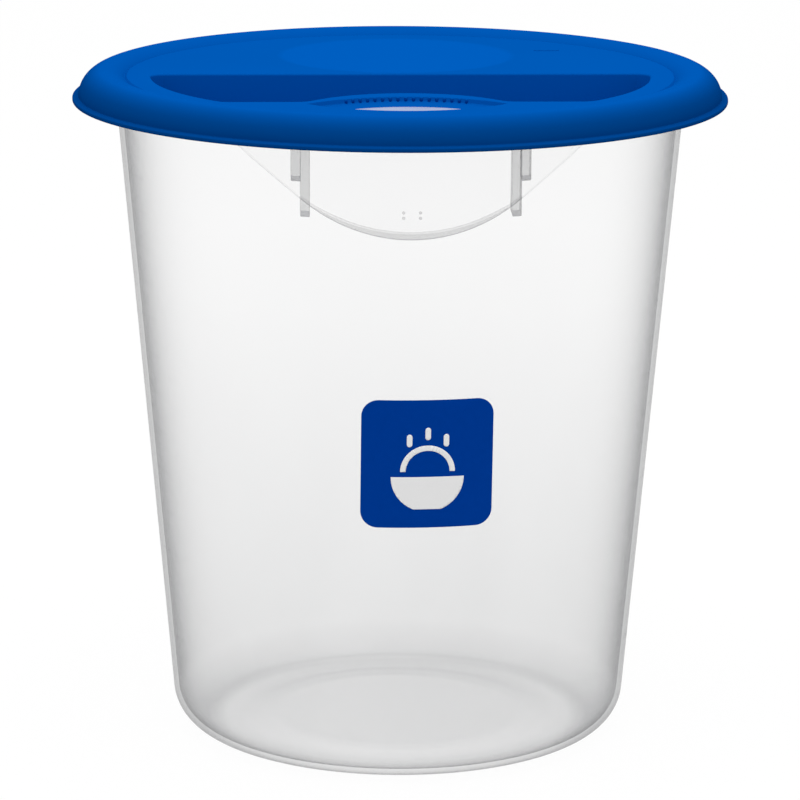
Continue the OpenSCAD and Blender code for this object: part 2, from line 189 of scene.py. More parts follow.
class ContainerLabelSizes(bpy.types.PropertyGroup):
    """Sizes of the label and its sign."""
    width: length("Width", "Width of the label, seen from the front", 50.5)
    height: length("Height", "Height of the label", 51)
    corner: length("Corner radius", "Radius of the label's corners", 6.5)
    place: length("Place", "Height of the label's middle above the base", 132)
    turn: angle("Turn", "Angle of the label's middle from the front", 4.1)
    film_gap: length("Film gap", "Gap between the wall and the film", 0.05)
    film: length("Film thickness", "Thickness of the film", 0.25)
    ink: length("Ink thickness", "Thickness of the white print", 0.1)
    line: length("Line width", "Width of the sign's lines", 2.1)
    bowl: length("Bowl radius", "Radius of the sign's bowl", 14)
    dome: length("Dome radius", "Radius of the sign's dome of dough", 10.5)
    rim_down: length("Bowl rim", "From the label's middle down to the bowl's rim", 3)
    stroke: length("Stroke length", "Length of the strokes above the dome", 5)
    stroke_angle: angle("Stroke angle", "Angle between the strokes, about the dome's middle", 42)


class ContainerFinishes(bpy.types.PropertyGroup):
    """Colours of the finishes."""
    clear: colour("Clear plastic", "Tint of the clear tub", (0.3, 0.305, 0.315))
    blue: colour("Lid", "Colour of the lid's plastic", (0.0, 0.072, 0.34))
    film: colour("Label film", "Colour of the label", (0.0, 0.045, 0.33))
    ink: colour("Label print", "Colour of the sign", (0.98, 0.98, 0.98))
    backdrop: colour("Backdrop", "Colour of the floor and the backdrop", (0.35, 0.35, 0.35))


class ContainerStageSizes(bpy.types.PropertyGroup):
    """Places of the camera and the lamp."""
    distance: length("Camera distance", "From the camera to the point it looks at", 1600)
    aim: length("Aim height", "Height of that point above the base", 128)
    elevation: angle("Elevation", "Angle of the camera above the horizon", 13.53)
    azimuth: angle("Azimuth", "Angle of the camera round the object", -2.1)
    roll: angle("Roll", "Turn of the camera about its line of sight", 0.24)
    lens: FloatProperty(name="Lens", description="Focal length in millimetres", default=177.8)
    shift_x: FloatProperty(name="Shift across", description="Shift of the picture's centre", default=0.0014)
    shift_y: FloatProperty(name="Shift up", description="Shift of the picture's centre", default=0.0147)
    key_height: length("Key height", "Height of the soft lamp above the lid", 1300)
    key_front: length("Key place", "Distance of the soft lamp to the front", 250)
    key_size: length("Key size", "Side of the soft lamp", 1600)
    key_power: FloatProperty(name="Key power", description="Power of the soft lamp in watts", default=14)
    fill: FloatProperty(name="Fill", description="Strength of the even light from all sides", default=0.9)


# Shapes shared by the pieces


def arc(x, y, radius, start, end, steps):
    """Points of an arc about (x, y), from one angle to another in degrees, ends included."""
    turns = [radians(start + (end - start) * i / steps) for i in range(steps + 1)]
    return [(x + radius * cos(a), y + radius * sin(a)) for a in turns]


def rounded(corners):
    """A line through corners (x, z, radius), each rounded by its radius, with its two ends as they are."""
    points = []
    last = len(corners) - 1
    for i, (x, z, radius) in enumerate(corners):
        here = Vector((x, z))
        if radius == 0 or i in (0, last):
            points.append(tuple(here))
            continue
        back = (Vector(corners[i - 1][:2]) - here).normalized()
        ahead = (Vector(corners[i + 1][:2]) - here).normalized()
        half = back.angle(ahead) / 2
        centre = here + (back + ahead).normalized() * radius / sin(half)
        start = here + back * radius / tan(half) - centre
        end = here + ahead * radius / tan(half) - centre
        sweep = start.angle_signed(end)
        steps = 3 + int(radius / ROUND_STEP)
        for k in range(steps + 1):
            points.append(tuple(centre + Matrix.Rotation(-sweep * k / steps, 2) @ start))
    return points


def chain(bm, points, closed=False):
    """New vertices at the points, joined in a row."""
    verts = [bm.verts.new(p) for p in points]
    pairs = list(zip(verts, verts[1:])) + ([(verts[-1], verts[0])] if closed else [])
    return verts, [bm.edges.new(pair) for pair in pairs]


def ring(bm, outline, z):
    """A closed line at one height, as edges."""
    return chain(bm, [(x, y, z) for x, y in outline], closed=True)[1]


def turn(bm, section, sweep=FULL_TURN, start=0.0, closed=False, steps=TURN_STEPS):
    """Turns a section of (radius, height) points about the axis."""
    points = [(r * sin(start), -r * cos(start), z) for r, z in section]
    verts, edges = chain(bm, points, closed)
    bmesh.ops.spin(
        bm, geom=verts + edges, cent=(0, 0, 0), axis=(0, 0, 1), angle=sweep, steps=steps,
        use_merge=sweep == FULL_TURN,
    )


def stack(bm, rings):
    """Joins rings one to the next by bands of faces."""
    for lower, upper in zip(rings, rings[1:]):
        bmesh.ops.bridge_loops(bm, edges=lower + upper)


def fill(bm, edges):
    """A flat face inside the outer line and round any holes; returns its faces."""
    made = bmesh.ops.triangle_fill(bm, edges=edges, use_beauty=True)
    return [f for f in made["geom"] if isinstance(f, bmesh.types.BMFace)]


def soften(bm, edges, offset):
    """Rounds the edges a little."""
    bmesh.ops.bevel(
        bm, geom=list(edges), offset=offset, offset_type="OFFSET", segments=2, profile=0.5,
        affect="EDGES", clamp_overlap=True, material=-1,
    )


def closed_up(bm):
    """Merges doubles, closes open ends and turns the faces outwards, and checks that the piece is closed."""
    bmesh.ops.remove_doubles(bm, verts=bm.verts, dist=MERGE)
    open_edges = [e for e in bm.edges if e.is_boundary]
    if open_edges:
        bmesh.ops.holes_fill(bm, edges=open_edges, sides=0)
    bmesh.ops.recalc_face_normals(bm, faces=bm.faces)
    if not all(e.is_manifold for e in bm.edges):
        raise RuntimeError("A piece has an open or a shared edge")


def add_object(bm, name, materials):
    """A new object from a bmesh, with its finishes."""
    mesh = bpy.data.meshes.new(name)
    bm.to_mesh(mesh)
    bm.free()
    for material in materials:
        mesh.materials.append(material)
    made = bpy.data.objects.new(name, mesh)
    bpy.context.scene.collection.objects.link(made)
    return made


def piece(bm, name, body, materials, nodes):
    """Makes a finished piece from a bmesh: it rides on a body and stands for CAD nodes."""
    for face in bm.faces:
        face.smooth = True
    made = add_object(bm, name, materials)
    shading = made.modifiers.new("even_shading", "WEIGHTED_NORMAL")
    shading.weight = 100
    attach(made, body)
    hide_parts(*nodes)


# Finishes


def scaled(base, factor):
    """A colour made lighter or darker by a factor, with full cover."""
    return (*[min(1, c * factor) for c in base], 1)


class Finish:
    """A new node material and short ways to add to it."""

    def __init__(self, name):
        self.material = bpy.data.materials.new(name)
        self.material.use_nodes = True
        self.tree = self.material.node_tree
        self.shader = self.tree.nodes["Principled BSDF"]

    def add(self, kind, settings=None, **inputs):
        """A new node with its settings, and its inputs by name or as i and their number."""
        node = self.tree.nodes.new(kind)
        for key, value in (settings or {}).items():
            setattr(node, key, value)
        for key, value in inputs.items():
            socket = node.inputs[int(key[1:])] if key[0] == "i" and key[1:].isdigit() else node.inputs[key]
            self.feed(socket, value)
        return node

    def feed(self, socket, value):
        """Links another node's output to a socket, or sets the socket's value."""
        if isinstance(value, bpy.types.NodeSocket):
            self.tree.links.new(value, socket)
        else:
            socket.default_value = value

    def set(self, **inputs):
        """Sets the shader's sockets, with underscores for spaces."""
        for key, value in inputs.items():
            self.feed(self.shader.inputs[key.replace("_", " ")], value)

    def place(self):
        """The point on the piece, in the object's own coordinates."""
        return self.add("ShaderNodeTexCoord").outputs["Object"]

    def apart(self, x, y):
        """Distance from the upright line through (x, y)."""
        kind = "ShaderNodeVectorMath"
        level = self.add(kind, {"operation": "MULTIPLY"}, i0=self.place(), i1=(1, 1, 0)).outputs[0]
        return self.add(kind, {"operation": "DISTANCE"}, i0=level, i1=(x, y, 0)).outputs["Value"]

    def noise(self, scale, detail, stretch=(1, 1, 1)):
        """A cloudy value, with its waves in a metre, its detail and its stretch by axis."""
        where = self.add("ShaderNodeMapping", Vector=self.place(), Scale=stretch)
        node = self.add("ShaderNodeTexNoise", Vector=where.outputs[0], Scale=scale, Detail=detail)
        return node.outputs["Fac"]

    def ranged(self, value, low, high, out_low, out_high):
        """A value brought from one range to another, and kept inside it."""
        node = self.add("ShaderNodeMapRange", i0=value, i1=low, i2=high, i3=out_low, i4=out_high)
        return node.outputs[0]

    def maths(self, operation, a, b):
        """Two values added, multiplied or raised to a power."""
        return self.add("ShaderNodeMath", {"operation": operation}, i0=a, i1=b).outputs[0]

    def spread(self, noise, low, high):
        """A noise's usual range, about 0.3 to 0.7, brought to the range from low to high."""
        return self.ranged(noise, 0.3, 0.7, low, high)

    def blended(self, share, first, second):
        """A mix of two colours, each a node's output or a plain colour."""
        return self.add("ShaderNodeMix", {"data_type": "RGBA"}, i0=share, i6=first, i7=second).outputs[2]

    def bump(self, height, strength, distance):
        """A bumpy normal from a value, with its strength and its depth in metres."""
        node = self.add("ShaderNodeBump", Height=height, Strength=strength, Distance=distance)
        return node.outputs[0]

    def tinted(self, base, share, amount):
        """The base colour, a little lighter and darker by a share from 0 to 1."""
        return self.blended(share, scaled(base, 1 - amount), scaled(base, 1 + amount))


def finish_once(name, build):
    """The finish of that name, built the first time; the frame's own materials have other names."""
    found = bpy.data.materials.get(name)
    return found if found else build(name)


# Density of the clear plastic at the base and at the fade height, where the extra density low down is
# painted shade, and what is added where it is edge on:
# for thin walls, for solid ribs and beads, and for the shallow marks, which hardly show.
CLEAR_LOOKS = {
    "tub_clear": (0.09, 0.018, 0.85),
    "tub_thick": (0.2, 0.2, 0.7),
    "tub_marks": (0.03, 0.02, 0.02),
}


def clear_look(name):
    """Clear, slightly milky plastic, denser where seen edge on, with painted shade towards the base and
    bottom corner.
    """
    low, high, grazing = CLEAR_LOOKS[name]
    # Painted shade: the plastic is denser towards the base and more so at the bottom corner, standing in for
    # the floor's shade seen through the tub; the floor itself takes only a share.
    shade_fade_height, corner_shade_height = 190 * MM, 14 * MM
    floor_edge, wall_start = 70 * MM, 78 * MM
    corner_painted_shade, floor_shade_share = 1.75, 0.12
    edge_power, edge_shade = 5.0, 0.4
    look = Finish(name)
    tint = bpy.context.scene.container_finishes.clear
    cloud = look.noise(14, 3, (1, 1, 0.35))
    height = look.add("ShaderNodeSeparateXYZ", Vector=look.place()).outputs["Z"]
    # Painted shade: less on the floor, more at the bottom corner, fading with height; the cloud adds random
    # milkiness.
    floor = look.ranged(look.apart(0, 0), floor_edge, wall_start, floor_shade_share, 1.0)
    corner = look.maths("MULTIPLY", look.ranged(height, 0.0, corner_shade_height, corner_painted_shade, 1.0), floor)
    depth = look.maths("MULTIPLY", look.ranged(height, 0.0, shade_fade_height, low, high), corner)
    milk_and_painted_shade = look.maths("MULTIPLY", depth, look.spread(cloud, 0.85, 1.15))
    facing = look.add("ShaderNodeLayerWeight", Blend=0.5).outputs["Facing"]
    edge = look.maths("POWER", facing, edge_power)
    look.set(
        Base_Color=look.blended(edge, look.tinted(tint, cloud, 0.03), scaled(tint, edge_shade)),
        Alpha=look.maths("ADD", milk_and_painted_shade, look.maths("MULTIPLY", edge, grazing)),
        Roughness=look.spread(look.noise(260, 4), 0.1, 0.2),
        IOR=1.49,
        Specular_IOR_Level=0.08,
        Normal=look.bump(look.noise(22, 2, (1, 1, 0.3)), 0.06, 0.002),
    )
    return look.material


def build_blue_satin(name):
    """Satin moulded plastic with faint flow marks, with painted shade on the skirt and painted light in the
    round dish.
    """
    # Painted shade on the skirt and painted light in the round dish: where each fades in and its strength.
    painted_shade_start, painted_shade_end, skirt_painted_shade = 119 * MM, 126 * MM, 0.64
    dish_light_fade, dish_painted_light = 3 * MM, 1.1
    look = Finish(name)
    base = bpy.context.scene.container_finishes.blue
    lid = bpy.context.scene.container_lid
    grain = look.noise(1500, 2)
    # Painted shade: the colour darkens towards the skirt, standing in for the shade on its upright face.
    skirt = look.ranged(look.apart(0, 0), painted_shade_start, painted_shade_end, 0, 1)
    top = look.blended(skirt, look.tinted(base, look.noise(9, 3), 0.05), scaled(base, skirt_painted_shade))
    # Painted light: the round dish's colour is lighter, standing in for how the light falls in its shallow
    # hollow.
    away = look.apart(0, lid.dish_place)
    dish = look.ranged(away, lid.dish_radius - dish_light_fade, lid.dish_radius, 1, 0)
    look.set(
        Base_Color=look.blended(dish, top, scaled(base, dish_painted_light)),
        Roughness=look.spread(grain, 0.42, 0.52),
        Specular_IOR_Level=0.0,
        Normal=look.bump(grain, 0.12, 0.0002),
    )
    return look.material


def build_blue_polished(name):
    """The same plastic where the mould was polished."""
    look = Finish(name)
    base = bpy.context.scene.container_finishes.blue
    swirl = look.noise(90, 2)
    look.set(
        Base_Color=look.tinted(base, swirl, 0.03),
        Roughness=look.spread(swirl, 0.07, 0.13),
        Specular_IOR_Level=1.0,
        Normal=look.bump(swirl, 0.03, 0.0003),
    )
    return look.material


def build_label_film(name):
    """Smooth printed film with a faint print mottle."""
    look = Finish(name)
    base = bpy.context.scene.container_finishes.film
    mottle = look.noise(420, 4)
    look.set(
        Base_Color=look.tinted(base, mottle, 0.06),
        Roughness=look.spread(mottle, 0.3, 0.42),
        Specular_IOR_Level=0.1,
        Specular_Tint=(0.0, 0.4, 1.0, 1),
        Normal=look.bump(look.noise(60, 2), 0.05, 0.0003),
    )
    return look.material


def build_white_print(name):
    """White ink with a faint screen texture."""
    look = Finish(name)
    base = bpy.context.scene.container_finishes.ink
    screen = look.noise(2400, 1)
    look.set(
        Base_Color=look.tinted(base, screen, 0.02),
        Roughness=look.spread(screen, 0.38, 0.5),
        Normal=look.bump(screen, 0.08, 0.0001),
    )
    return look.material


def clear_plastic():
    """The tub's two finishes: thin and thick."""
    return [finish_once(name, clear_look) for name in ("tub_clear", "tub_thick")]


# The tub


def wall_slope(tub):
    """Growth of the wall's radius with height."""
    return (tub.mouth_radius - tub.foot_radius) / tub.height


def wall_radius(tub, z):
    """Outer radius of the wall at a height."""
    return tub.foot_radius + wall_slope(tub) * z


def inner_radius(tub, z):
    """Inner radius of the wall at a height."""
    return wall_radius(tub, z) - tub.wall * sqrt(1 + wall_slope(tub) ** 2)


def tub_section(tub):
    """The tub's wall in section, from the axis under the floor round to the axis on the floor."""
    small, fine, kick_blend = 0.5 * MM, 0.35 * MM, 60 * MM
    kick_run = 14 * tub.kick
    flange_top = tub.height - tub.flange_drop
    flange_low = flange_top - tub.flange
    bead_low = tub.height - tub.bead
    bead_r = tub.mouth_radius + tub.bead_out
    return rounded([
        (0, tub.kick, 0),
        (tub.kick_radius - kick_run, tub.kick, kick_blend),
        (tub.kick_radius, 0, kick_blend),
        (tub.foot_radius, 0, tub.corner),
        (wall_radius(tub, flange_low), flange_low, small),
        (tub.flange_radius, flange_low, small),
        (tub.flange_radius, flange_top, small),
        (wall_radius(tub, flange_top), flange_top, small),
        (wall_radius(tub, bead_low), bead_low, fine),
        (bead_r, bead_low + tub.bead_out, fine),
        (bead_r, tub.height, fine),
        (inner_radius(tub, tub.height), tub.height, small),
        (inner_radius(tub, tub.floor), tub.floor, tub.corner - tub.wall),
        (tub.kick_radius + tub.kick, tub.floor, kick_blend),
        (tub.kick_radius + tub.kick - kick_run, tub.floor + tub.kick, kick_blend),
        (0, tub.floor + tub.kick, 0),
    ])


class CONTAINER_OT_tub(bpy.types.Operator):
    """Makes the tub's wall, floor, flange and sealing bead."""
    bl_idname = "container.tub"
    bl_label = "Tub"

    def execute(self, context):
        bm = bmesh.new()
        turn(bm, tub_section(context.scene.container_tub))
        closed_up(bm)
        piece(bm, "tub_wall", "tub", clear_plastic(), ["container_body"])
        return {"FINISHED"}


def apron_low_edge(grip, low, across):
    """Height of the apron's lower edge at a distance across: an arc with straight ends."""
    tangent = grip.edge_radius * sin(grip.edge_angle)
    if across <= tangent:
        return low + grip.edge_radius - sqrt(grip.edge_radius ** 2 - across ** 2)
    rise = grip.edge_radius * (1 - cos(grip.edge_angle))
    return low + rise + (across - tangent) * tan(grip.edge_angle)


def under_flange(tub):
    """Height of the flange's lower face."""
    return tub.height - tub.flange_drop - tub.flange


def add_apron(bm, tub, grip):
    """The apron: a curved plate whose lower edge is an arc with a thick bead in its middle."""
    thin_edge, tip, soft = 0.3, 0.4 * MM, 0.45 * MM
    top = under_flange(tub) - HAIR
    low = top - grip.drop
    outer = tub.flange_radius
    inner = outer - grip.apron
    bead_top = low + grip.bead
    tangent = grip.edge_radius * sin(grip.edge_angle)
    end = tangent + (top - apron_low_edge(grip, low, tangent)) / tan(grip.edge_angle)
    half = asin((end - tip) / outer)
    line = rounded([
        (inner, top, 0), (inner, bead_top + soft, soft), (inner - grip.bead_in, bead_top, soft),
        (inner - grip.bead_in, low, 2 * soft), (outer, low, 2 * soft), (outer, bead_top, 0),
        (outer, top, 0),
    ])
    turn(bm, line, 2 * half, -half, closed=True, steps=120)
    for v in bm.verts:
        across = abs(outer * sin(atan2(v.co.x, -v.co.y)))
        edge = apron_low_edge(grip, low, across)
        bead_edge = bead_top + grip.bead_radius - sqrt(grip.bead_radius ** 2 - across ** 2)
        share = min(1.0, max(0.0, (bead_edge - edge) / grip.bead))
        radius = v.co.xy.length
        if radius < inner:
            v.co.xy *= (inner - (inner - radius) * share) / radius
        if v.co.z < top - HAIR:
            height = (v.co.z - low) * (thin_edge + (1 - thin_edge) * share)
            v.co.z = min(edge + height, top - HAIR)
    for face in bm.faces:
        centre = face.calc_center_median()
        edge = apron_low_edge(grip, low, abs(centre.x))
        if abs(centre.x) < grip.rib_x and centre.z < edge + grip.bead:
            face.material_index = 1


def thicken(verts):
    """Gives the faces round the vertices the thick plastic's finish."""
    for face in {f for v in verts for f in v.link_faces}:
        face.material_index = 1


def add_gap_block(bm, tub, grip, x0, x1, drop):
    """A block across the gap between the wall and the apron."""
    soft = 0.35 * MM
    top = under_flange(tub) - HAIR
    made = bmesh.ops.create_cube(bm, size=1.0)
    reach = tub.flange_radius - grip.apron - HAIR
    for v in made["verts"]:
        x = x1 if v.co.x > 0 else x0
        z = top if v.co.z > 0 else top - drop
        radius = reach if v.co.y < 0 else wall_radius(tub, z) + HAIR
        v.co = (x, -sqrt(radius ** 2 - x ** 2), z)
    thicken(made["verts"])
    soften(bm, {e for v in made["verts"] for e in v.link_edges}, soft)


def add_dots(bm, tub, grip):
    """Two pairs of small raised dots low on the apron."""
    low = under_flange(tub) - grip.drop
    for side in (-1, 1):
        for row in (-1, 1):
            x = side * grip.dot_gap / 2
            z = low + grip.dot_up + row * grip.dot_row / 2
            spot = Matrix.Translation((x, -sqrt(tub.flange_radius ** 2 - x ** 2), z))
            flat = Matrix.Diagonal((1, 0.5, 1, 1))
            made = bmesh.ops.create_icosphere(bm, subdivisions=3, radius=grip.dot, matrix=spot @ flat)
            thicken(made["verts"])


class CONTAINER_OT_grips(bpy.types.Operator):
    """Makes the two hand grips: aprons, ribs, steps and locating dots."""
    bl_idname = "container.grips"
    bl_label = "Hand grips"

    def execute(self, context):
        tub = context.scene.container_tub
        grip = context.scene.container_grip
        lap = 5 * HAIR
        for name, turned in (("front_grip", 0), ("back_grip", pi)):
            bm = bmesh.new()
            add_apron(bm, tub, grip)
            for side in (-1, 1):
                places = (-grip.rib, 0, -lap, grip.rib)
                inner_x, middle_x, lap_x, outer_x = [side * (grip.rib_x + place) for place in places]
                add_gap_block(bm, tub, grip, *sorted((inner_x, middle_x)), grip.rib_drop)
                add_gap_block(bm, tub, grip, *sorted((lap_x, outer_x)), grip.step_drop)
            add_dots(bm, tub, grip)
            bmesh.ops.rotate(bm, verts=bm.verts, cent=(0, 0, 0), matrix=Matrix.Rotation(turned, 3, "Z"))
            closed_up(bm)
            piece(bm, name, "tub", clear_plastic(), ["container_body"])
        return {"FINISHED"}


def fill_height(tub, volume):
    """Height that a volume reaches in the tub: a cone's volume, less a small loss at the rounded corner."""
    floor_r = inner_radius(tub, tub.floor)
    corner = tub.corner - tub.wall
    loss = 2 * pi * floor_r * (1 - pi / 4) * corner ** 2
    slope = wall_slope(tub)
    radius = (floor_r ** 3 + 3 * slope * (volume + loss) / pi) ** (1 / 3)
    return tub.floor + (radius - floor_r) / slope


def add_mark(bm, tub, marks, z, start, sweep):
    """One raised mark on the wall, with sloping sides."""
    half = marks.height / 2
    corners = []
    for dz, out in ((-half, HAIR), (-half, marks.out), (half, marks.out), (half, HAIR)):
        inset = min(marks.out, half) / 2 if out > HAIR else 0
        corners.append((wall_radius(tub, z + dz) + out, z + dz - (inset if dz > 0 else -inset)))
    turn(bm, corners, sweep, start, closed=True, steps=max(4, ceil(degrees(sweep))))


class CONTAINER_OT_marks(bpy.types.Operator):
    """Makes the raised measuring marks, quarts on the right and litres on the left."""
    bl_idname = "container.marks"
    bl_label = "Measuring marks"

    def execute(self, context):
        tub = context.scene.container_tub
        marks = context.scene.container_marks
        scales = (("quart_marks", QUART, marks.quarts, 1), ("litre_marks", LITRE, marks.litres, -1))
        faint = finish_once("tub_marks", clear_look)
        for name, unit, top, side in scales:
            bm = bmesh.new()
            for half in range(2, 2 * top + 1):
                span = marks.short if half % 2 else marks.long
                start = marks.start if side > 0 else -marks.start - span
                add_mark(bm, tub, marks, fill_height(tub, unit * half / 2), start, span)
            closed_up(bm)
            piece(bm, name, "tub", [faint], ["container_body"])
        return {"FINISHED"}


# The lid


def pocket_outline(lid, grow):
    """The pocket's outline, grown all round, as arcs from its right rear corner leftwards and round."""
    few, some, many = 8, 36, 44
    inner = lid.pocket_radius - lid.pocket_corner
    corner_x = sqrt(inner ** 2 - lid.pocket_corner ** 2)
    corner_a = degrees(asin(lid.pocket_corner / inner))
    front = lid.front_corner
    front_y = lid.shelf - front
    front_x = sqrt((lid.pocket_radius - front) ** 2 - front_y ** 2)
    front_a = degrees(asin(front_y / (lid.pocket_radius - front)))
    bulge_cy = lid.bulge_tip + lid.bulge_radius
    blend_cy = lid.shelf - lid.bulge_blend
    blend_x = sqrt((lid.bulge_radius + lid.bulge_blend) ** 2 - (bulge_cy - blend_cy) ** 2)
    blend_a = degrees(atan2(bulge_cy - blend_cy, blend_x))
    arcs = [
        (corner_x, -lid.pocket_corner, lid.pocket_corner + grow, -corner_a, 90, few),
        (-corner_x, -lid.pocket_corner, lid.pocket_corner + grow, 90, 180 + corner_a, few),
        (0, 0, lid.pocket_radius + grow, 180 + corner_a, 180 + front_a, some),
        (-front_x, -front_y, front + grow, 180 + front_a, 270, few),
        (-blend_x, -blend_cy, lid.bulge_blend + grow, 270, 360 - blend_a, few),
        (0, -bulge_cy, lid.bulge_radius - grow, 180 - blend_a, blend_a, many),
        (blend_x, -blend_cy, lid.bulge_blend + grow, 180 + blend_a, 270, few),
        (front_x, -front_y, front + grow, 270, 360 - front_a, few),
        (0, 0, lid.pocket_radius + grow, 360 - front_a, 360 - corner_a, some),
    ]
    points = []
    for values in arcs:
        for p in arc(*values):
            if not points or (Vector(p) - Vector(points[-1])).length > MERGE:
                points.append(p)
    return points[:-1]


def lens_outline(radius, width, place, grow, steps=36):
    """The lens between two arcs, grown all round."""
    offset = radius - width / 2
    reach = radius + grow
    half = degrees(asin(sqrt(reach ** 2 - offset ** 2) / reach))
    back = arc(0, -place - offset, reach, 90 - half, 90 + half, steps)
    front = arc(0, -place + offset, reach, 270 - half, 270 + half, steps)
    return back[:-1] + front[:-1]


def edge_steps(grow, z, radius):
    """Growths and heights of a rounded edge that starts flat at the outside and ends upright."""
    return [(grow + radius * (1 - sin(a)), z - radius * (1 - cos(a))) for a in QUARTER]


def root_steps(grow, z, radius):
    """Growths and heights of a hollow root that starts upright and ends flat."""
    return [(grow - radius * (1 - cos(a)), z + radius * (1 - sin(a))) for a in QUARTER]


def rim_section(tub, lid):
    """The lid's rim in section: from the flat top over the roll, round the lip and in to the underside."""
    small, fine, skirt_gap = 0.6 * MM, 0.3 * MM, 0.5 * MM
    groove_lap, under_start = 1, 4
    top = tub.height + lid.thickness
    roll_z = top + lid.crest - lid.roll
    meet = 180 - degrees(asin((top - roll_z) / lid.roll))
    skirt_top = lid.low + lid.lip
    skirt = degrees(asin((skirt_top + skirt_gap - roll_z) / lid.roll))
    skirt_r = lid.roll_place + lid.roll
    inner_roll = lid.roll - lid.thickness
    seat_x = lid.seat_radius - lid.roll_place
    seat = degrees(atan2(sqrt(inner_roll ** 2 - seat_x ** 2), seat_x))
    plug_low = tub.height - lid.plug_depth
    plug_r = inner_radius(tub, plug_low) - lid.plug_gap
    plug_top_r = inner_radius(tub, tub.height) - lid.plug_gap
    meet_r = lid.roll_place + lid.roll * cos(radians(meet))
    over = arc(lid.roll_place, roll_z, lid.roll, meet - groove_lap, skirt, 44)
    under = arc(lid.roll_place, roll_z, inner_roll, under_start, seat, 24)
    return rounded(
        [(lid.plate_radius, top, 0), (meet_r - lid.groove_width, top, fine),
         (meet_r - lid.groove_width / 2, top - lid.groove_depth, fine), (meet_r, top, 0)]
        + [(r, z, 0) for r, z in over]
        + [(skirt_r, skirt_top, fine), (lid.lip_radius, skirt_top - fine, small),
           (lid.lip_radius, lid.low, small), (skirt_r - lid.thickness, lid.low, small)]
        + [(r, z, 0) for r, z in under]
        + [(lid.seat_radius, tub.height, fine), (plug_top_r, tub.height, fine), (plug_r, plug_low, fine),
           (plug_r - lid.plug, plug_low, fine), (plug_top_r - lid.plug, tub.height, fine),
           (lid.plate_radius, tub.height, 0)]
    )


def add_lid_shell(bm, tub, lid):
    """The lid's rim, flat top, underside, pocket, thumb dish and round dish as one closed shell."""
    top = tub.height + lid.thickness
    under = tub.height
    pocket_z = top - lid.pocket_depth
    thumb_z = top - lid.thumb_depth
    wall = lid.thickness
    turn(bm, rim_section(tub, lid))
    bmesh.ops.remove_doubles(bm, verts=bm.verts, dist=MERGE)
    ends = [e for e in bm.edges if e.is_boundary]
    top_edge = [e for e in ends if e.verts[0].co.z > (top + under) / 2]
    low_edge = [e for e in ends if e.verts[0].co.z < (top + under) / 2]

    def sunk(outline, steps):
        """Rings at growths and heights, joined; returns the first and the last."""
        rings = [ring(bm, outline(grow), z) for grow, z in steps]
        stack(bm, rings)
        return rings[0], rings[-1]

    def pocket(grow):
        return pocket_outline(lid, grow)

    def thumb(grow):
        return lens_outline(lid.thumb_radius, lid.thumb_width, lid.thumb_place, grow)

    def round_dish(grow):
        return arc(0, lid.dish_place, lid.dish_radius + grow, 0, 360, TURN_STEPS // 2)[:-1]

    soft, root, draft = 0.9 * MM, 2.0 * MM, 0.5 * MM
    thumb_soft, thumb_draft, thumb_under_draft = 0.4 * MM, 0.3 * MM, 0.2 * MM
    dish_rings = 8
    pocket_top, pocket_low = sunk(
        pocket, edge_steps(0, top, soft) + root_steps(-draft, pocket_z, root))
    under_top, under_low = sunk(
        pocket, edge_steps(wall, under, soft) + root_steps(wall - draft, pocket_z - wall, soft))
    thumb_top, thumb_low = sunk(
        thumb, edge_steps(0, top, thumb_soft) + root_steps(-thumb_draft, thumb_z, soft))
    thumb_under_top, thumb_under_low = sunk(
        thumb, edge_steps(wall, under, thumb_soft)
        + root_steps(wall - thumb_under_draft, thumb_z - wall, thumb_soft))
    # The round dish is nearly flat in its middle and steeper at its edge.
    shares = [1 - i / dish_rings for i in range(dish_rings)]
    dish_top, dish_low = sunk(
        round_dish, [(lid.dish_radius * (s - 1), top - lid.dish_depth * (1 - s ** 4)) for s in shares])
    shine_radius = (lid.shine_length ** 2 + lid.shine_width ** 2) / (4 * lid.shine_width)
    shine = ring(bm, lens_outline(shine_radius, lid.shine_width, lid.shine_place, 0, 24), thumb_z)

    fill(bm, top_edge + pocket_top + thumb_top + dish_top)
    fill(bm, low_edge + under_top + thumb_under_top)
    fill(bm, pocket_low)
    fill(bm, under_low)
    fill(bm, thumb_low + shine)
    for face in fill(bm, shine):
        face.material_index = 1
    fill(bm, thumb_under_low)
    fill(bm, dish_low)


def add_thumb_ribs(bm, tub, lid):
    """Small upright ribs along the back wall of the thumb dish."""
    sink, head_room, soft, taper = 0.2 * MM, 0.25 * MM, 0.2 * MM, 0.8
    top = tub.height + lid.thickness
    low = top - lid.thumb_depth - sink
    high = top - head_room
    arc_y = -lid.thumb_place + lid.thumb_width / 2 - lid.thumb_radius
    for i in range(lid.thumb_ribs):
        turned = (i - (lid.thumb_ribs - 1) / 2) * lid.thumb_pitch / lid.thumb_radius
        x, y = lid.thumb_radius * sin(turned), arc_y + lid.thumb_radius * cos(turned)
        spot = Vector((x, y, (low + high) / 2))
        made = bmesh.ops.create_cone(
            bm, cap_ends=True, segments=12, radius1=lid.thumb_rib, radius2=lid.thumb_rib * taper,
            depth=high - low, matrix=Matrix.Translation(spot),
        )
        crown = {e for v in made["verts"] if v.co.z > spot.z for e in v.link_edges
                 if e.other_vert(v).co.z > spot.z}
        soften(bm, crown, soft)


def add_dash(bm, tub, lid):
    """The small raised oblong on the flat top."""
    sink, soft = 0.2 * MM, 0.15 * MM
    top = tub.height + lid.thickness
    half = lid.dash_length / 2 - lid.dash_radius
    rings = []
    for shrink, z in ((0, top - sink), (0, top + lid.dash_out - soft), (soft, top + lid.dash_out)):
        radius = lid.dash_radius - shrink
        line = arc(lid.dash_x + half, lid.dash_y, radius, -90, 90, 10)
        line += arc(lid.dash_x - half, lid.dash_y, radius, 90, 270, 10)
        rings.append(ring(bm, line, z))
    stack(bm, rings)
    fill(bm, rings[0])
    fill(bm, rings[-1])


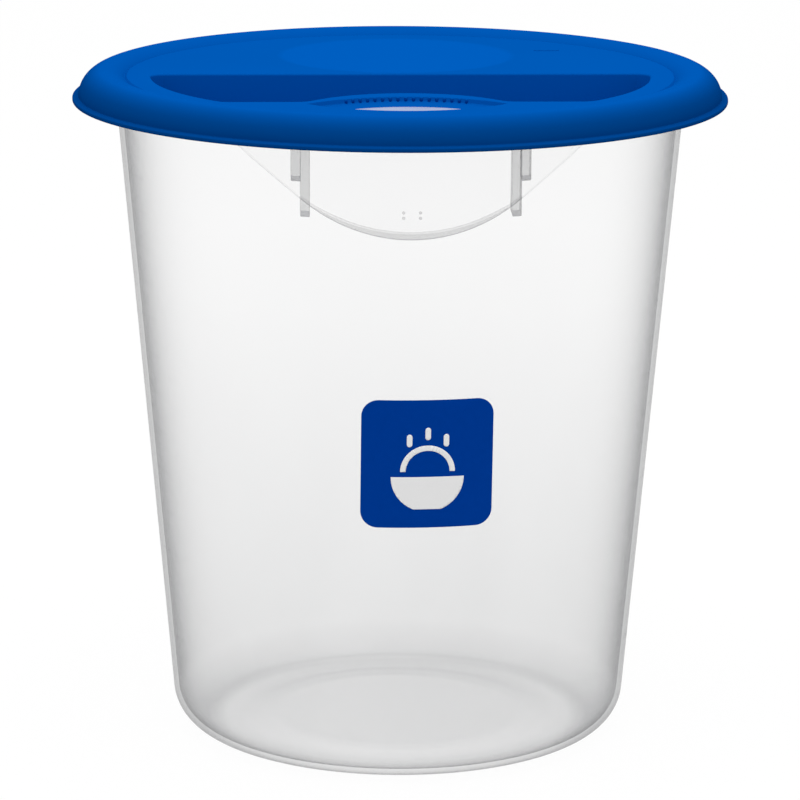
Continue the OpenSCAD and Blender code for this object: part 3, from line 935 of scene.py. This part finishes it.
class CONTAINER_OT_lid(bpy.types.Operator):
    """Makes the lid with its rolled rim, pocket, thumb dish, round dish and small mark."""
    bl_idname = "container.lid"
    bl_label = "Lid"

    def execute(self, context):
        tub = context.scene.container_tub
        lid = context.scene.container_lid
        bm = bmesh.new()
        add_lid_shell(bm, tub, lid)
        add_thumb_ribs(bm, tub, lid)
        add_dash(bm, tub, lid)
        closed_up(bm)
        satin = finish_once("lid_satin", build_blue_satin)
        polished = finish_once("lid_polished", build_blue_polished)
        piece(bm, "lid_shell", "lid", [satin, polished], ["lid"])
        return {"FINISHED"}


# The label


def wrapped_layer(outlines, tub, label, low_off, high_off):
    """A thin layer from flat outlines, bent round the tub's wall at the label's place."""
    bm = bmesh.new()
    for line in outlines:
        fill(bm, ring(bm, line, 0))
    strips = ceil(label.width / ROUND_STEP)
    for i in range(1, strips):
        x = label.width * (i / strips - 0.5)
        bmesh.ops.bisect_plane(
            bm, geom=bm.verts[:] + bm.edges[:] + bm.faces[:], plane_co=(x, 0, 0), plane_no=(1, 0, 0),
        )
    bmesh.ops.dissolve_degenerate(bm, edges=bm.edges, dist=HAIR / 2)
    made = bmesh.ops.extrude_face_region(bm, geom=bm.faces[:], use_keep_orig=True)
    raised = [v for v in made["geom"] if isinstance(v, bmesh.types.BMVert)]
    bmesh.ops.translate(bm, verts=raised, vec=(0, 0, high_off - low_off))
    for v in bm.verts:
        x, y, out = v.co
        z = label.place + y
        radius = wall_radius(tub, z) + low_off + out
        v.co = (x, -sqrt(radius ** 2 - x ** 2), z)
    bmesh.ops.rotate(bm, verts=bm.verts, cent=(0, 0, 0), matrix=Matrix.Rotation(label.turn, 3, "Z"))
    bmesh.ops.recalc_face_normals(bm, faces=bm.faces)
    return bm


def rounded_square(width, height, radius):
    """A rectangle with rounded corners."""
    x, y = width / 2 - radius, height / 2 - radius
    line = []
    for i, (sx, sy) in enumerate(((1, 1), (-1, 1), (-1, -1), (1, -1))):
        line += arc(sx * x, sy * y, radius, 90 * i, 90 * i + 90, 12)
    return line


class CONTAINER_OT_label(bpy.types.Operator):
    """Makes the label's film."""
    bl_idname = "container.label"
    bl_label = "Label"

    def execute(self, context):
        tub = context.scene.container_tub
        label = context.scene.container_label
        outline = rounded_square(label.width, label.height, label.corner)
        bm = wrapped_layer([outline], tub, label, label.film_gap, label.film_gap + label.film)
        film = finish_once("film_finish", build_label_film)
        piece(bm, "label_film", "tub", [film], ["front_label"])
        return {"FINISHED"}


def sign_outlines(label):
    """The sign's outlines: a bowl, a dome of dough above it and three strokes that rise from the dome."""
    rim = -label.rim_down
    bowl_y = rim - label.line
    foot = label.bowl - label.line / 2
    half = degrees(asin(foot / label.bowl))
    bowl = arc(0, bowl_y, label.bowl, 180, 180 + half, 24) + arc(0, bowl_y, label.bowl, 360 - half, 360, 24)
    inner = label.dome - label.line
    dome = arc(0, rim, label.dome, 0, 180, 40) + arc(0, rim, inner, 180, 0, 40)
    outlines = [bowl, dome]
    radius = label.line / 2
    straight = label.stroke / 2 - radius
    for i in (-1, 0, 1):
        x = i * label.dome * sin(label.stroke_angle)
        y = rim + label.dome * cos(i * label.stroke_angle) + label.line + label.stroke / 2
        head = arc(x, y + straight, radius, 0, 180, 12)
        outlines.append(head + arc(x, y - straight, radius, 180, 360, 12))
    return outlines


class CONTAINER_OT_sign(bpy.types.Operator):
    """Makes the white sign printed on the label."""
    bl_idname = "container.sign"
    bl_label = "Sign"

    def execute(self, context):
        tub = context.scene.container_tub
        label = context.scene.container_label
        low = label.film_gap + label.film + HAIR
        bm = wrapped_layer(sign_outlines(label), tub, label, low, low + label.ink)
        ink = finish_once("ink_finish", build_white_print)
        piece(bm, "label_sign", "tub", [ink], ["label_print"])
        return {"FINISHED"}


# The stage


def seen_share(tree):
    """1 for rays that show the backdrop: straight from the camera, mirrored, or through clear plastic."""
    path = tree.nodes.new("ShaderNodeLightPath")
    total = path.outputs["Is Camera Ray"]
    for name in ("Is Glossy Ray", "Is Transmission Ray"):
        node = tree.nodes.new("ShaderNodeMath")
        node.operation = "MAXIMUM"
        tree.links.new(total, node.inputs[0])
        tree.links.new(path.outputs[name], node.inputs[1])
        total = node.outputs[0]
    return total


def build_floor_finish(name):
    """A pale floor that looks white and keeps the shadow."""
    look = Finish(name)
    base = bpy.context.scene.container_finishes.backdrop
    white_share, glow_strength = 0.9, 1.07
    look.set(Base_Color=look.tinted(base, look.noise(3, 2), 0.01), Roughness=0.9, Specular_IOR_Level=0.0)
    glow = look.add("ShaderNodeEmission", Color=WHITE, Strength=glow_strength)
    share = look.maths("MULTIPLY", seen_share(look.tree), white_share)
    mix = look.add("ShaderNodeMixShader", i0=share, i1=look.shader.outputs[0], i2=glow.outputs[0])
    look.feed(look.tree.nodes["Material Output"].inputs["Surface"], mix.outputs[0])
    return look.material


def build_world(stage):
    """White where it is seen, and an even fill light elsewhere."""
    world = bpy.data.worlds.new("backdrop")
    world.use_nodes = True
    tree = world.node_tree
    back = tree.nodes["Background"]
    back.inputs["Color"].default_value = WHITE
    mix = tree.nodes.new("ShaderNodeMapRange")
    tree.links.new(seen_share(tree), mix.inputs["Value"])
    mix.inputs["To Min"].default_value = stage.fill
    mix.inputs["To Max"].default_value = 1.0
    tree.links.new(mix.outputs[0], back.inputs["Strength"])
    bpy.context.scene.world = world


def add_floor():
    """A wide floor a hair below the base, so that no two faces lie in one plane."""
    half_side, below = 6.0, 0.3 * MM
    bm = bmesh.new()
    place = Matrix.Translation((0, 0, -below))
    bmesh.ops.create_grid(bm, x_segments=8, y_segments=8, size=half_side, matrix=place)
    ground = add_object(bm, "floor", [finish_once("floor_finish", build_floor_finish)])


def add_lamp(scene, stage):
    """One large soft lamp above the lid, a little to the front."""
    lamp = bpy.data.lights.new("soft_lamp", "AREA")
    lamp.shape = "SQUARE"
    lamp.size = stage.key_size
    lamp.energy = stage.key_power
    key = bpy.data.objects.new("soft_lamp", lamp)
    key.location = (0, -stage.key_front, CAD_BOX[1].z + stage.key_height)
    key.rotation_euler = (atan2(stage.key_front, stage.key_height), 0, 0)
    scene.collection.objects.link(key)


def add_camera(scene, stage):
    """The camera, aimed at a point on the tub's axis."""
    camera = bpy.data.cameras.new("camera")
    camera.lens = stage.lens
    camera.sensor_width = 36
    camera.shift_x = stage.shift_x
    camera.shift_y = stage.shift_y
    camera.clip_end = 100
    eye = bpy.data.objects.new("camera", camera)
    level = cos(stage.elevation)
    back = Vector((sin(stage.azimuth) * level, -cos(stage.azimuth) * level, sin(stage.elevation)))
    eye.location = Vector((0, 0, stage.aim)) + back * stage.distance
    aim = (-back).to_track_quat("-Z", "Y").to_matrix() @ Matrix.Rotation(stage.roll, 3, "Z")
    eye.rotation_euler = aim.to_euler()
    scene.collection.objects.link(eye)
    scene.camera = eye


class CONTAINER_OT_stage(bpy.types.Operator):
    """Makes the floor, the backdrop, the lamp and the camera."""
    bl_idname = "container.stage"
    bl_label = "Stage"

    def execute(self, context):
        scene = context.scene
        stage = scene.container_stage
        add_floor()
        build_world(stage)
        add_lamp(scene, stage)
        add_camera(scene, stage)
        scene.view_settings.view_transform = "Standard"
        # Enough for a ray that goes through every clear wall.
        scene.cycles.transparent_max_bounces = 40
        return {"FINISHED"}


PIECES = (
    CONTAINER_OT_stage, CONTAINER_OT_tub, CONTAINER_OT_grips, CONTAINER_OT_marks,
    CONTAINER_OT_lid, CONTAINER_OT_label, CONTAINER_OT_sign,
)
SIZES = {
    "container_tub": ContainerTubSizes,
    "container_grip": ContainerGripSizes,
    "container_marks": ContainerMarkSizes,
    "container_lid": ContainerLidSizes,
    "container_label": ContainerLabelSizes,
    "container_finishes": ContainerFinishes,
    "container_stage": ContainerStageSizes,
}


class CONTAINER_PT_panel(bpy.types.Panel):
    """Lists the pieces and their sizes."""
    bl_idname = "CONTAINER_PT_panel"
    bl_label = "Container"
    bl_space_type = "VIEW_3D"
    bl_region_type = "UI"
    bl_category = "Container"

    def draw(self, context):
        for operator in PIECES:
            self.layout.operator(operator.bl_idname)
        for name in SIZES:
            group = getattr(context.scene, name)
            box = self.layout.box()
            for key in group.__annotations__:
                box.prop(group, key)


def register():
    """Registers the size groups, the operators and the panel."""
    for group in SIZES.values():
        bpy.utils.register_class(group)
    for name, group in SIZES.items():
        setattr(bpy.types.Scene, name, PointerProperty(type=group))
    for made in (*PIECES, CONTAINER_PT_panel):
        bpy.utils.register_class(made)


def unregister():
    """Takes back what register added."""
    for made in (CONTAINER_PT_panel, *reversed(PIECES)):
        bpy.utils.unregister_class(made)
    for name in SIZES:
        delattr(bpy.types.Scene, name)
    for group in SIZES.values():
        bpy.utils.unregister_class(group)


def main():
    """Makes the pieces in order."""
    register()
    for made in PIECES:
        area, name = made.bl_idname.split(".")
        getattr(getattr(bpy.ops, area), name)()


if __name__ == "__main__":
    main()
